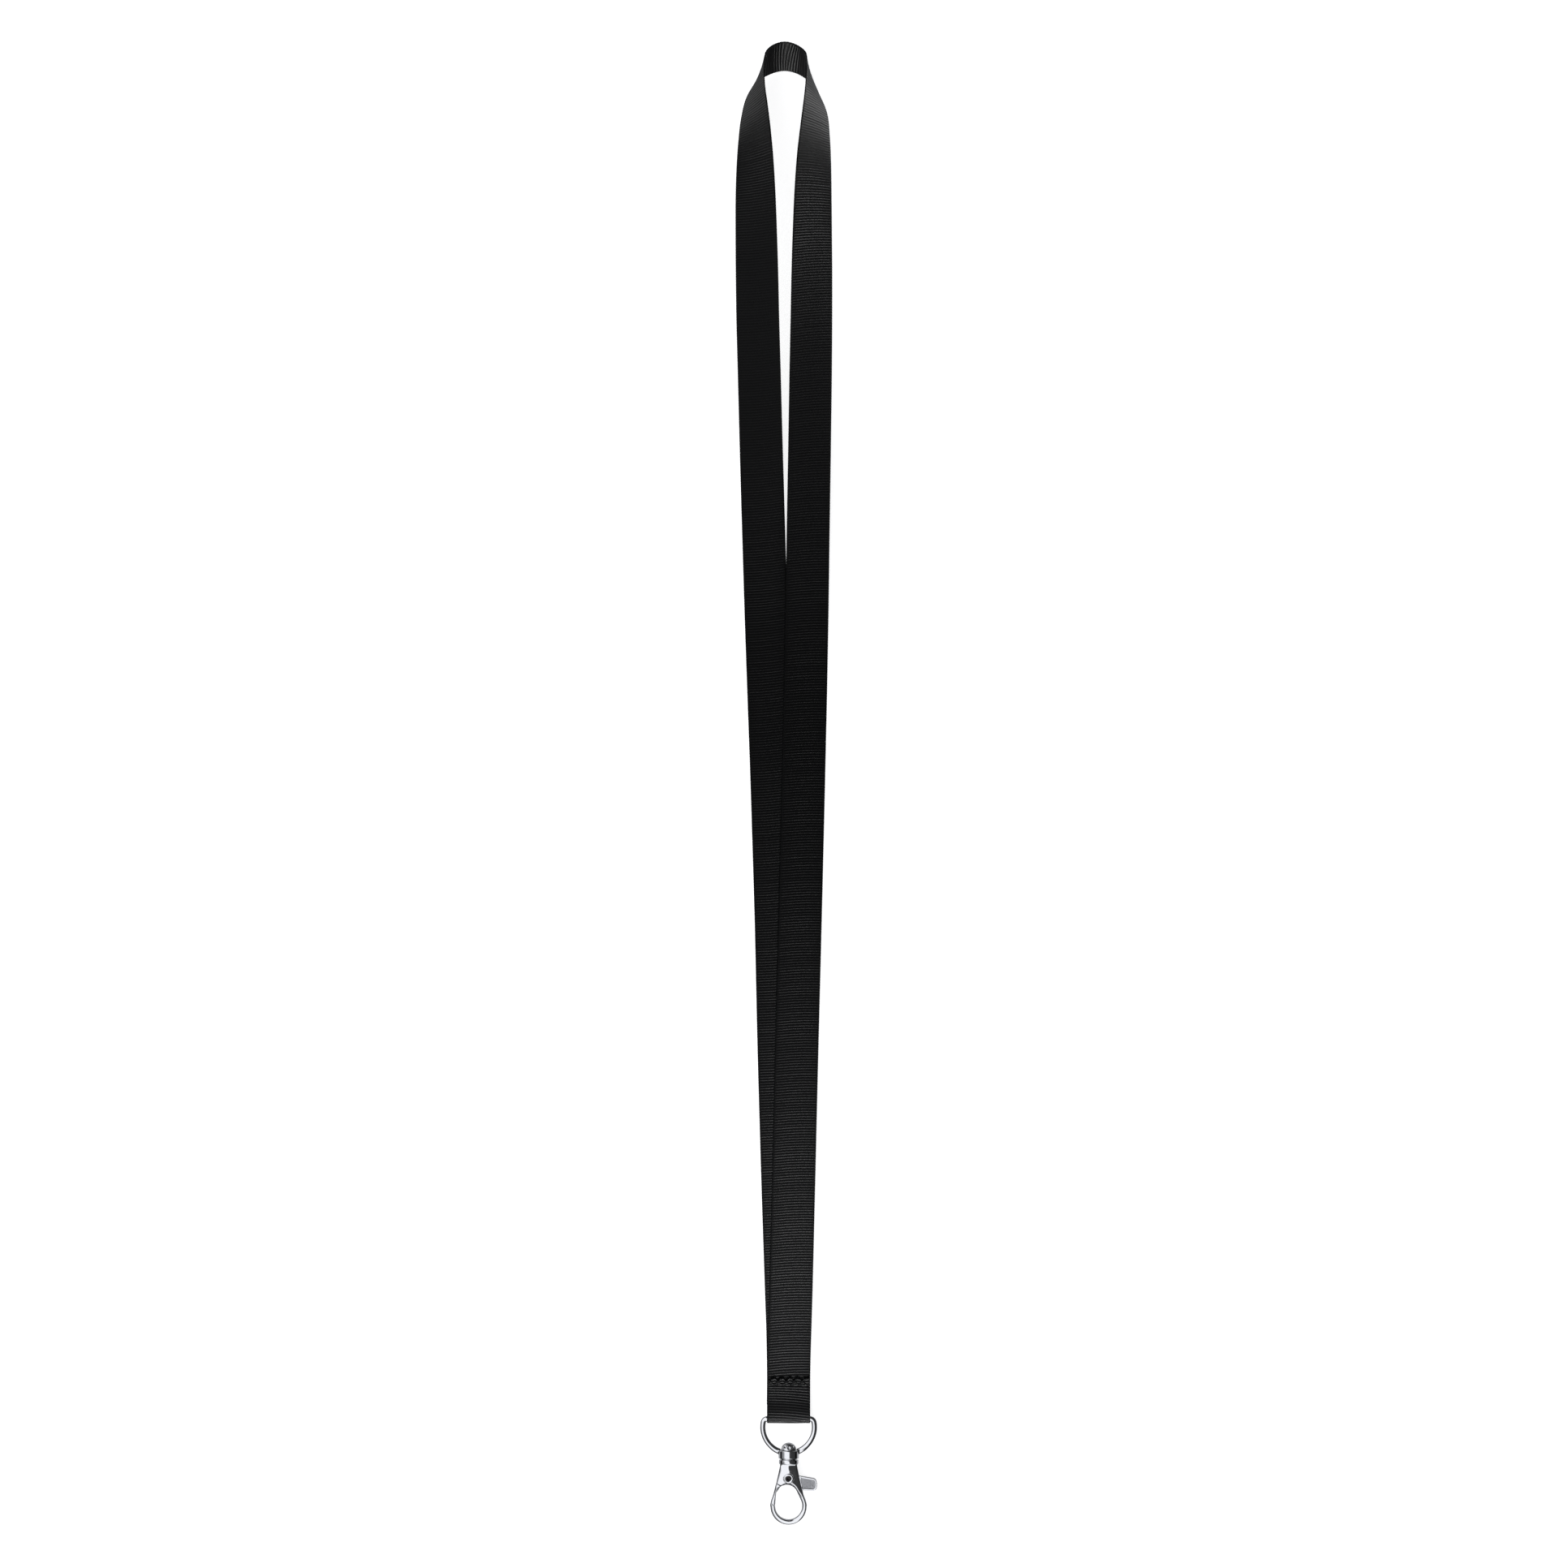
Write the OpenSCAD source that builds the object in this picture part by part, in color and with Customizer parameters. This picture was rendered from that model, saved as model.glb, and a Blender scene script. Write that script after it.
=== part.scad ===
// Neck lanyard: one length of ribbed ribbon, folded into a loop and sewn round the straight
// bar of a D-ring, with a swivelling lobster clasp on the ring's eye.
// It lies on a table: +Z is up, +Y runs from the clasp to the neck, X runs across.
// The origin is under the middle of the outline. Millimetres.

/* [Ribbon] */
// Width of the ribbon
ribbon_w = 15; // [14:0.1:15]
// Thickness of the ribbon
ribbon_t = 0.6; // [0.4:0.05:0.6]
// Rings that the ribbon's surface gets between two stations of its route
ribbon_steps = 4; // [2:1:6]

/* [Stitching] */
// Diameter of the sewing thread
thread_d = 0.5; // [0.3:0.05:0.6]
// Distance between two stitches across the ribbon
stitch_pitch = 2.8; // [2:0.1:4]
// Length of a stitch along the ribbon
stitch_reach = 1.6; // [1:0.1:2]

/* [D-ring] */
// Diameter of the ring's wire
wire_d = 1.9; // [1.6:0.05:1.9]
// Radius of the ring's round side, to the middle of the wire
arc_r = 8.95; // [8.9:0.05:9.2]
// Diameter of the two corners at the ends of the straight bar
corner_d = 2.1; // [2.05:0.05:2.3]
// Distance from the bar to the centre of the round side
arc_drop = 2.9; // [2.7:0.05:3]
// Diameter of the swivel eye, which also sets how high the hardware lies
eye_d = 7; // [6.9:0.05:7.2]
// Length of the swivel eye
eye_len = 2.8; // [2.6:0.1:2.8]

/* [Swivel] */
// Diameter of the swivel rivet's shank
shank_d = 2.4; // [2:0.1:2.6]
// Diameter of the swivel rivet's domed head
dome_d = 5.4; // [5:0.1:5.5]

/* [Clasp] */
// Thickness of the clasp's body at the gate rivet
body_t = 4.6; // [4.4:0.1:5]
// Thickness of the hook
hook_t = 3.2; // [2.8:0.1:3.4]
// Width of the slot that the gate lever turns in
slot_t = 2; // [1.9:0.05:2.2]
// Thickness of the thumb tab
tab_t = 2.6; // [2.2:0.1:3]
// Outer diameter of the gate rivet's barrel
barrel_d = 2.4; // [2.2:0.1:2.4]
// Diameter of the hole through the gate rivet
rivet_hole_d = 1.6; // [1.4:0.1:1.7]

/* [Fits] */
// Radial clearance of pieces that turn on each other
run_gap = 0.05; // [0.03:0.01:0.08]
// Clearance round the gate and between the eye and the clasp
free_gap = 0.15; // [0.1:0.01:0.2]

/* [Hidden] */
$fn = 64;

// The neck end of the outline, and the axis that all the hardware shares
neck_y = 257;
end_x = 1.6;
bar_s = 477.3;
bar_y = neck_y - bar_s;
bar_z = eye_d / 2;

// The ribbon's route. Each station is [x, s, z, dx, dy]: x, z and the distance s down from the
// neck end place the middle of the ribbon, and dx, dy point from its outer to its inner edge.
// The right leg runs up from the end that is sewn in between the other two layers.
right_leg = [
    [1.5, 472.5, 2.55, -1, 0], [1.6, 464, 1.95, -1, 0], [1.75, 456, 1.45, -1, 0],
    [2.05, 446, 1.05, -1, 0], [2.35, 436, 0.95, -1, 0], [3.25, 400, 0.95, -1, 0],
    [4.45, 350, 1, -1, 0], [5.75, 300, 1, -0.9985, 0], [6.95, 250, 0.85, -0.998, 0],
    [7.5, 225, 1.2, -0.998, 0], [7.95, 200, 2.8, -0.998, 0], [8.4, 168, 7.4, -0.996, -0.015],
    [8.85, 140, 12.6, -0.988, -0.03], [9.2, 115, 17, -0.98, -0.03],
    [9.45, 96, 19.9, -0.96, -0.02], [9.6, 81, 21.6, -0.94, 0], [9.75, 67.5, 22.4, -0.905, 0.03],
    [10, 53.5, 22, -0.855, 0.085], [10.4, 40.5, 20.3, -0.775, 0.16],
    [10.75, 32, 18.3, -0.68, 0.22], [10.9, 23.5, 15.5, -0.55, 0.27],
    [10, 16, 12.6, -0.32, 0.33], [9, 10.9, 10.1, -0.16, 0.45], [7.65, 8.2, 8.4, -0.03, 0.54]];
// The band at the nape stands on its outer edge and leans back
neck_band = [[5, 6.1, 6.95, 0, 0.57], [0.2, 4.75, 6.25, 0, 0.59], [-4.5, 6.1, 6.95, 0.01, 0.56]];
left_leg = [
    [-6.8, 7.9, 8.2, 0.09, 0.53], [-8.3, 10.4, 9.8, 0.25, 0.45], [-9.85, 17, 13, 0.42, 0.3],
    [-10.25, 25, 16, 0.615, 0.26], [-10.15, 34, 19, 0.755, 0.21], [-10, 42.5, 21, 0.845, 0.15],
    [-9.8, 54.5, 22.4, 0.92, 0.08], [-9.55, 68, 22.5, 0.957, 0.03], [-9.3, 81.5, 21.6, 0.98, 0],
    [-9.05, 96, 19.9, 0.989, -0.02], [-8.55, 115, 16.8, 0.994, -0.02],
    [-7.9, 140, 12.2, 0.997, -0.01], [-7.1, 168, 6.6, 1, 0], [-6.15, 200, 1.9, 1, 0],
    [-5.3, 225, 0.6, 1, 0], [-4.4, 250, 0.36, 1, 0], [-3.6, 275, 0.3, 1, 0],
    [-2.85, 300, 0.3, 1, 0], [-1.7, 350, 0.3, 1, 0], [-0.25, 400, 0.3, 1, 0],
    [0.95, 436, 0.3, 1, 0], [1.3, 446, 0.4, 1, 0], [1.5, 456, 0.8, 1, 0],
    [1.6, 464, 1.3, 1, 0], [1.6, 471, 1.85, 1, 0]];
// The turn round the bar, from its underside to its top, and the end that is sewn down
wrap_r = wire_d / 2 + run_gap + ribbon_t / 2;
wrap = [for (a = [0 : 15 : 180]) [end_x, bar_s + wrap_r * sin(a), bar_z - wrap_r * cos(a), 1, 0]];
tail_slope = 0.15;
tail_z = 2.62;
tail_s = 463.2;
tail = [[end_x, 471, tail_z + tail_slope * (471 - tail_s), 1, 0], [end_x, tail_s, tail_z, 1, 0]];
route = concat(right_leg, neck_band, left_leg, wrap, tail);

// The stitches stand in a row across the ribbon, just below its sewn end
stitch_s = 465;
stitch_count = 5;
seam_top = tail_z + tail_slope * (stitch_s - tail_s) + ribbon_t / 2;
seam_bottom = 1.35 - ribbon_t / 2;
thread_sink = 0.1;

// Swivel: distances below the bar
eye_top = 11;
eye_bottom = eye_top + eye_len;
flange_top = eye_bottom + 0.3;
flange_bottom = flange_top + 1.6;
flange_d = 6.8;
shank_end = 16.6;

// Clasp: the gate turns about pivot, the hook closes against an arc of radius gate_r about it
pivot = 20.55;
gate_r = 10.65;
slot_top = 17.1;
slot_bottom = 24.9;
hook_c = 30.35;
hook_r = 6.35;
eye_wide = [30.2, 4.65];
eye_narrow = [26.55, 3.7];
eye_shift = 0.65;
stop_angle = 25;

// ---- functions ----

function unit(v) = v / norm(v);
function place(st) = [st[0], neck_y - st[1], st[2]];
function across(st) = [st[3], st[4], sqrt(max(0, 1 - st[3] * st[3] - st[4] * st[4]))];

// Slope at station i of a list of vectors v that stand at the distances t
function slope(v, t, i) =
    i == 0 ? (v[1] - v[0]) / (t[1] - t[0]) :
    i == len(v) - 1 ? (v[i] - v[i - 1]) / (t[i] - t[i - 1]) :
    let (a = t[i] - t[i - 1], b = t[i + 1] - t[i])
    ((v[i + 1] - v[i]) / b * a + (v[i] - v[i - 1]) / a * b) / (a + b);

// Cubic between stations i and i + 1 at share u of the way
function between(v, t, i, u) =
    let (h = t[i + 1] - t[i])
    (2 * u * u * u - 3 * u * u + 1) * v[i] + (u * u * u - 2 * u * u + u) * h * slope(v, t, i)
    + (3 * u * u - 2 * u * u * u) * v[i + 1] + (u * u * u - u * u) * h * slope(v, t, i + 1);

function distances(p) =
    [for (i = 0, d = 0; i < len(p); d = d + (i + 1 < len(p) ? norm(p[i + 1] - p[i]) : 0), i = i + 1) d];

function smooth(v, t, k) = concat(
    [for (i = [0 : len(v) - 2]) for (j = [0 : k - 1]) between(v, t, i, j / k)],
    [v[len(v) - 1]]);

function heading(p, i) = unit(p[min(i + 1, len(p) - 1)] - p[max(i - 1, 0)]);

// Corners of the ribbon's cross-section at point p, with its heading and its width direction
function strip_ring(p, run, wide) =
    let (d = unit(wide - (wide * run) * run), n = cross(run, d),
         w = ribbon_w / 2 * d, h = ribbon_t / 2 * n)
    [p - w - h, p + w - h, p + w + h, p - w + h];

function tube_ring(p, run, r, sides) =
    let (side = unit(cross(run, [0, 0, 1])), up = cross(side, run))
    [for (k = [0 : sides - 1]) p + r * (cos(360 * k / sides) * side + sin(360 * k / sides) * up)];

// ---- building blocks ----

// A closed solid over rings that all have the same number of corners
module loft(rings) {
    n = len(rings[0]);
    last = len(rings) - 1;
    sides = [for (i = [0 : last - 1]) for (k = [0 : n - 1])
        let (a = i * n + k, b = i * n + (k + 1) % n) [a, a + n, b + n, b]];
    first_cap = [for (k = [0 : n - 1]) k];
    last_cap = [for (k = [n - 1 : -1 : 0]) last * n + k];
    polyhedron([for (r = rings) each r], concat([first_cap], sides, [last_cap]));
}

// A straight piece of thread with round ends
module stitch(a, b) {
    way = b - a;
    translate(a) sphere(d = thread_d, $fn = 24);
    translate(b) sphere(d = thread_d, $fn = 24);
    translate(a)
        rotate([0, acos(way[2] / norm(way)), atan2(way[1], way[0])])
            cylinder(d = thread_d, h = norm(way), $fn = 24);
}

// A row of slanted stitches that lies on the surface at height z, with the given slope
module stitch_row(z, tilt) {
    first = end_x - stitch_pitch * stitch_count / 2;
    for (i = [0 : stitch_count - 1]) {
        x = first + stitch_pitch * i;
        lean = tilt * stitch_reach / 2;
        translate([0, neck_y - stitch_s, z])
            stitch([x + 0.5, stitch_reach / 2, -lean],
                   [x + stitch_pitch - 0.7, -stitch_reach / 2, lean]);
    }
}

// Everything on the hardware is drawn with the bar at the origin and the clasp towards -Y
module at_bar() {
    translate([end_x, bar_y, bar_z]) children();
}

// A turned piece about the swivel's axis, from a profile of [radius, distance below the bar]
module turned(profile) {
    rotate([90, 0, 0]) rotate_extrude() polygon(profile);
}

// Outline of the closed clasp below its flange
module clasp_outline() {
    polygon([[-2.9, -flange_bottom + 0.7], [2.9, -flange_bottom + 0.7], [2.9, -flange_bottom],
             [3.55, -19], [4.1, -21.6], [4.95, -25.1], [5.7, -28], [6.3, -hook_c],
             [-6.3, -hook_c], [-5.9, -28.2], [-5.2, -25.2], [-4.6, -22.3], [-4, -20],
             [-2.9, -flange_bottom]]);
    translate([0, -hook_c]) circle(r = hook_r);
}

// The egg-shaped eye of the hook: two circles and straight sides just inside their tangents.
// Its narrow end is nearer to the gate.
module hook_eye() {
    span = norm([eye_shift, eye_wide[0] - eye_narrow[0]]);
    lean = asin((eye_wide[1] - eye_narrow[1]) / span);
    inset = 0.985;
    wide_x = inset * eye_wide[1] * cos(lean);
    wide_y = inset * eye_wide[1] * sin(lean);
    narrow_x = inset * eye_narrow[1] * cos(lean);
    narrow_y = span + inset * eye_narrow[1] * sin(lean);
    translate([0, -eye_wide[0]]) rotate([0, 0, asin(eye_shift / span)]) {
        circle(r = eye_wide[1]);
        translate([0, span]) circle(r = eye_narrow[1]);
        polygon([[wide_x, wide_y], [narrow_x, narrow_y], [-narrow_x, narrow_y], [-wide_x, wide_y]]);
    }
}

// What the gate takes of the outline, grown by gap at both of its ends
module gate_place(gap) {
    difference() {
        polygon([[-8, -22.1 + gap], [-4.6, -22.3 + gap], [-2.55 + gap, -23.23 + gap],
                 [-2.55 + gap, -32], [-8, -32]]);
        difference() {
            translate([-9, -33]) square([18, 14]);
            translate([0, -pivot]) circle(r = gate_r + gap);
        }
    }
}

// How thick the clasp is along its length, as a prism across the whole clasp
module side_profile() {
    half = [[-flange_bottom + 0.7, 1.6], [-flange_bottom, 1.6], [-17.6, body_t / 2],
            [-23.4, body_t / 2], [-25.8, hook_t / 2], [-38, hook_t / 2]];
    back = [for (i = [len(half) - 1 : -1 : 0]) [half[i][0], -half[i][1]]];
    rotate([90, 0, 90]) linear_extrude(20, center = true) polygon(concat(half, back));
}

// ---- the pieces ----

// The whole ribbon, one cut length
module ribbon() {
    points = [for (st = route) place(st)];
    t = distances(points);
    p = smooth(points, t, ribbon_steps);
    d = smooth([for (st = route) across(st)], t, ribbon_steps);
    color([0.06, 0.06, 0.065]) loft([for (i = [0 : len(p) - 1]) strip_ring(p[i], heading(p, i), d[i])]);
}

// The bar tack's upper thread, on the end that is folded to the front
module needle_thread() {
    color([0.03, 0.03, 0.035]) stitch_row(seam_top + thread_d / 2 - thread_sink, tail_slope);
}

// The bar tack's lower thread, on the back
module bobbin_thread() {
    color([0.03, 0.03, 0.035]) stitch_row(seam_bottom - thread_d / 2 + thread_sink, 0.07);
}

// The ring with its straight bar, its round side and the swivel eye cast on it
module d_ring() {
    bar_half = sqrt(arc_r * arc_r - arc_drop * arc_drop);
    from = asin(arc_drop / arc_r);
    color([0.8, 0.81, 0.83]) at_bar() difference() {
        union() {
            rotate([0, 90, 0]) cylinder(d = wire_d, h = 2 * bar_half, center = true, $fn = 32);
            for (side = [1, -1])
                translate([side * bar_half, 0]) sphere(d = corner_d, $fn = 32);
            translate([0, -arc_drop]) rotate([0, 0, 180 - from])
                rotate_extrude(angle = 180 + 2 * from) translate([arc_r, 0]) circle(d = wire_d, $fn = 32);
            turned([[0, eye_top], [eye_d / 2 - 0.3, eye_top], [eye_d / 2, eye_top + 0.3],
                    [eye_d / 2, eye_bottom - 0.2], [eye_d / 2 - 0.2, eye_bottom], [0, eye_bottom]]);
        }
        turned([[0, eye_top - 2], [dome_d / 2 + 0.1, eye_top - 2], [dome_d / 2 + 0.1, eye_top],
                [shank_d / 2 + run_gap, eye_top], [shank_d / 2 + run_gap, eye_bottom + 1],
                [0, eye_bottom + 1]]);
    }
}

// The rivet that the clasp swivels on: a domed head above the eye and a shank into the clasp
module swivel_rivet() {
    color([0.8, 0.81, 0.83]) at_bar() translate([0, -eye_top + run_gap, 0]) difference() {
        union() {
            difference() {
                sphere(d = dome_d);
                translate([-dome_d, -2 * dome_d, -dome_d]) cube(2 * dome_d);
                translate([-dome_d, 2.45, -dome_d]) cube(2 * dome_d);
            }
            rotate([90, 0, 0]) cylinder(d = shank_d, h = shank_end - eye_top + run_gap);
        }
        translate([0, 2.15, 0]) rotate([-90, 0, 0]) cylinder(d = 1.4, h = 1);
    }
}

// The die-cast body and hook, slotted for the gate lever
module hook_body() {
    color([0.8, 0.81, 0.83]) at_bar() difference() {
        union() {
            turned([[0, flange_top], [flange_d / 2 - 0.3, flange_top],
                    [flange_d / 2, flange_top + 0.3], [flange_d / 2, flange_bottom - 0.4],
                    [flange_d / 2 - 0.4, flange_bottom], [0, flange_bottom]]);
            intersection() {
                linear_extrude(2 * eye_d, center = true) difference() {
                    clasp_outline();
                    hook_eye();
                    gate_place(free_gap);
                }
                side_profile();
            }
        }
        translate([-10, -slot_bottom, -slot_t / 2]) cube([20, slot_bottom - slot_top, slot_t]);
        translate([0, -pivot, 0]) cylinder(d = barrel_d + 0.02, h = 10, center = true);
        rotate([90, 0, 0]) cylinder(d = shank_d + 0.02, h = shank_end + 0.1);
    }
}

// Gate arm, hub and thumb tab, one casting that turns on the gate rivet
module gate_lever() {
    web_t = 1.05;
    web_bottom = -slot_t / 2 + 0.1;
    color([0.8, 0.81, 0.83]) at_bar() difference() {
        union() {
            // the arm that closes the hook
            linear_extrude(hook_t, center = true) intersection() {
                difference() {
                    clasp_outline();
                    hook_eye();
                }
                gate_place(0);
            }
            // hub and web, inside the slot
            translate([0, 0, web_bottom]) linear_extrude(web_t) {
                translate([0, -pivot]) circle(d = 4.6);
                polygon([[-1.5, -pivot + 1.2], [-4.2, -22.4], [-5, -25.4], [-3.95, -25.4],
                         [-3.4, -24], [-2.3, -23], [0, -pivot - 2]]);
                polygon([[1, -pivot + 1.6], [5.8, -pivot + 0.5], [5.8, -24.4], [4, -23.6], [0, -pivot - 2]]);
            }
            // the thumb tab
            linear_extrude(tab_t, center = true) {
                polygon([[5.2, -pivot + 0.75], [8.2, -pivot + 0.15], [8.2, -24.85], [5.55, -24.75]]);
                translate([8.2, -22.6]) scale([0.75, 1]) circle(r = 2.24);
            }
        }
        translate([0, -pivot, 0]) cylinder(d = barrel_d + 2 * run_gap, h = 10, center = true);
    }
}

// The tubular rivet that holds the body's two cheeks and carries the gate lever
module gate_rivet() {
    head_d = 3.5;
    head_h = 0.25;
    color([0.8, 0.81, 0.83]) at_bar() translate([0, -pivot, 0]) difference() {
        union() {
            cylinder(d = barrel_d, h = body_t + 2 * head_h, center = true);
            for (side = [1, -1])
                translate([0, 0, side * (body_t + head_h) / 2])
                    cylinder(d = head_d, h = head_h, center = true);
        }
        cylinder(d = rivet_hole_d, h = body_t + 2, center = true);
    }
}

// The small torsion spring beside the hub: a coil round the barrel and its two legs
module gate_spring() {
    spring_wire = 0.26;
    coil_r = 1.6;
    turns = 1.875;
    coil_low = 0.31;
    rise = 0.29;
    per_turn = 16;
    coil = [for (i = [0 : per_turn * turns])
        let (a = 180 + 360 * i / per_turn)
        [coil_r * cos(a), coil_r * sin(a), coil_low + rise * i / per_turn]];
    body_leg = [[-coil_r, 2.9, coil_low]];
    gate_leg = [for (l = [1.2, 2.4, 3.6]) coil[len(coil) - 1] + l * [-cos(45), -sin(45), 0]];
    path = concat(body_leg, coil, gate_leg);
    color([0.6, 0.6, 0.62]) at_bar() translate([0, -pivot, 0])
        loft([for (i = [0 : len(path) - 1]) tube_ring(path[i], heading(path, i), spring_wire / 2, 8)]);
}

ribbon();
needle_thread();
bobbin_thread();
d_ring();
swivel_rivet();
hook_body();
gate_lever();
gate_rivet();
gate_spring();
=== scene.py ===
"""Neck lanyard: a folded length of ribbed ribbon, its seam, a D-ring and a swivelling lobster clasp."""

import math

import bpy
import numpy as np
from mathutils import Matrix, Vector


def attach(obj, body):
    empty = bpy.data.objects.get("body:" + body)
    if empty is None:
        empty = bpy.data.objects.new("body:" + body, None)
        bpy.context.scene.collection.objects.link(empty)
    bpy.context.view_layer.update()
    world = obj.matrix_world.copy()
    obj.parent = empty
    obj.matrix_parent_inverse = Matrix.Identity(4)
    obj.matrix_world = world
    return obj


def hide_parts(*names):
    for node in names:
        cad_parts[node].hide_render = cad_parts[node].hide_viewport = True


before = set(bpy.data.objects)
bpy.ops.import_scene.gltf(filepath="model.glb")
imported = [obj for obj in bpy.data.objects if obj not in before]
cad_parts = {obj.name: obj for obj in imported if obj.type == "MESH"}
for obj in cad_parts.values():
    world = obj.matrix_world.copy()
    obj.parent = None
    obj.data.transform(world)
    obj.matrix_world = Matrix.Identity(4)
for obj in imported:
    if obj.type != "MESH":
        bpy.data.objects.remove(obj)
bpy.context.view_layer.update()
MM = 0.001

# ---- places shared with the CAD model, in metres and in its frame ----
NECK_Y = 0.257  # the neck end; a place named _S is its distance from there, towards the clasp
END_X = 0.0016  # the middle of the sewn end
BAR_S = 0.4773
BAR = np.array([END_X, NECK_Y - BAR_S, 0.0035])  # the middle of the D-ring's straight bar
WRAP_R = 0.0013  # from the bar's middle to the middle of the ribbon round it
WRAP_S = 0.471  # where the folded-over tail leaves the bar
TAIL_S = 0.4632  # the tail's cut end
TAIL_Z = 0.00262
TAIL_SLOPE = 0.15
BACK_Z = 0.00135  # the lower layer under the seam
BACK_SLOPE = 0.07
STITCH_S = 0.465
STITCH_PITCH = 0.0028
STITCH_COUNT = 5
STITCH_X, STITCH_Y = 0.0009, 0.00085  # from a stitch's middle to its ends
RIBBON_W = 0.015
RIBBON_T = 0.0006

# The ribbon's route: [x, distance from the neck end, z, and x and y of the way to the inner edge],
# in millimetres
RIGHT_LEG = [
    [1.5, 472.5, 2.55, -1, 0], [1.6, 464, 1.95, -1, 0], [1.75, 456, 1.45, -1, 0],
    [2.05, 446, 1.05, -1, 0], [2.35, 436, 0.95, -1, 0], [3.25, 400, 0.95, -1, 0],
    [4.45, 350, 1, -1, 0], [5.75, 300, 1, -0.9985, 0], [6.95, 250, 0.85, -0.998, 0],
    [7.5, 225, 1.2, -0.998, 0], [7.95, 200, 2.8, -0.998, 0], [8.4, 168, 7.4, -0.996, -0.015],
    [8.85, 140, 12.6, -0.988, -0.03], [9.2, 115, 17, -0.98, -0.03],
    [9.45, 96, 19.9, -0.96, -0.02], [9.6, 81, 21.6, -0.94, 0], [9.75, 67.5, 22.4, -0.905, 0.03],
    [10, 53.5, 22, -0.855, 0.085], [10.4, 40.5, 20.3, -0.775, 0.16],
    [10.75, 32, 18.3, -0.68, 0.22], [10.9, 23.5, 15.5, -0.55, 0.27],
    [10, 16, 12.6, -0.32, 0.33], [9, 10.9, 10.1, -0.16, 0.45], [7.65, 8.2, 8.4, -0.03, 0.54]]
NECK_BAND = [[5, 6.1, 6.95, 0, 0.57], [0.2, 4.75, 6.25, 0, 0.59], [-4.5, 6.1, 6.95, 0.01, 0.56]]
LEFT_LEG = [
    [-6.8, 7.9, 8.2, 0.09, 0.53], [-8.05, 10.4, 9.8, 0.19, 0.46], [-9.85, 17, 13, 0.42, 0.3],
    [-10.25, 25, 16, 0.615, 0.26], [-10.15, 34, 19, 0.755, 0.21], [-10, 42.5, 21, 0.845, 0.15],
    [-9.8, 54.5, 22.4, 0.92, 0.08], [-9.55, 68, 22.5, 0.957, 0.03], [-9.3, 81.5, 21.6, 0.98, 0],
    [-9.05, 96, 19.9, 0.989, -0.02], [-8.55, 115, 16.8, 0.994, -0.02],
    [-7.9, 140, 12.2, 0.997, -0.01], [-7.1, 168, 6.6, 1, 0], [-6.15, 200, 1.9, 1, 0],
    [-5.3, 225, 0.6, 1, 0], [-4.4, 250, 0.36, 1, 0], [-3.6, 275, 0.3, 1, 0],
    [-2.85, 300, 0.3, 1, 0], [-1.7, 350, 0.3, 1, 0], [-0.25, 400, 0.3, 1, 0],
    [0.95, 436, 0.3, 1, 0], [1.3, 446, 0.4, 1, 0], [1.5, 456, 0.8, 1, 0],
    [1.6, 464, 1.3, 1, 0], [1.6, 471, 1.85, 1, 0]]


def ribbon_stations():
    """Points and inner-edge directions along the whole ribbon."""
    rows = np.array(RIGHT_LEG + NECK_BAND + LEFT_LEG, float)
    turn = np.radians(np.arange(0, 181, 15))
    wrap = np.stack([np.full(13, END_X / MM), BAR_S / MM + WRAP_R / MM * np.sin(turn),
                     BAR[2] / MM - WRAP_R / MM * np.cos(turn), np.ones(13), np.zeros(13)], 1)
    tail_s = np.array([WRAP_S, TAIL_S])
    tail_z = TAIL_Z + TAIL_SLOPE * (tail_s - TAIL_S)
    tail = np.stack([np.full(2, END_X / MM), tail_s / MM, tail_z / MM, np.ones(2), np.zeros(2)], 1)
    rows = np.vstack([rows, wrap, tail])
    points = np.stack([rows[:, 0] * MM, NECK_Y - rows[:, 1] * MM, rows[:, 2] * MM], 1)
    lift = np.sqrt(np.maximum(0, 1 - rows[:, 3] ** 2 - rows[:, 4] ** 2))
    return points, np.stack([rows[:, 3], rows[:, 4], lift], 1)


def hermite(values, t, at):
    """Cubic through the values at the distances t, read at the distances at."""
    step = np.diff(t)
    secant = np.diff(values, axis=0) / step[:, None]
    slope = np.empty_like(values)
    slope[0], slope[-1] = secant[0], secant[-1]
    before, after = step[:-1, None], step[1:, None]
    slope[1:-1] = (secant[1:] * before + secant[:-1] * after) / (before + after)
    i = np.clip(np.searchsorted(t, at, side="right") - 1, 0, len(step) - 1)
    h = step[i][:, None]
    u = (at - t[i])[:, None] / h
    return ((2 * u**3 - 3 * u**2 + 1) * values[i] + (u**3 - 2 * u**2 + u) * h * slope[i]
            + (3 * u**2 - 2 * u**3) * values[i + 1] + (u**3 - u**2) * h * slope[i + 1])


def unit(v):
    return v / np.linalg.norm(v, axis=-1, keepdims=True)


class Route:
    """The ribbon's middle line by its own length, with its width and face directions."""
    FINE_POINTS = 16000

    def __init__(self):
        points, wide = ribbon_stations()
        t = np.concatenate([[0], np.cumsum(np.linalg.norm(np.diff(points, axis=0), axis=1))])
        fine = np.linspace(0, t[-1], self.FINE_POINTS)
        self.p = hermite(points, t, fine)
        run = unit(np.gradient(self.p, axis=0))
        d = hermite(wide, t, fine)
        self.d = unit(d - (d * run).sum(1)[:, None] * run)
        self.n = np.cross(run, self.d)
        self.run = run
        self.s = np.concatenate([[0], np.cumsum(np.linalg.norm(np.diff(self.p, axis=0), axis=1))])
        self.length = self.s[-1]

    def at(self, s, field):
        return np.stack([np.interp(s, self.s, field[:, k]) for k in range(3)], -1)


route = Route()
rng = np.random.default_rng(7)

# ---- mesh helpers ----


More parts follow.
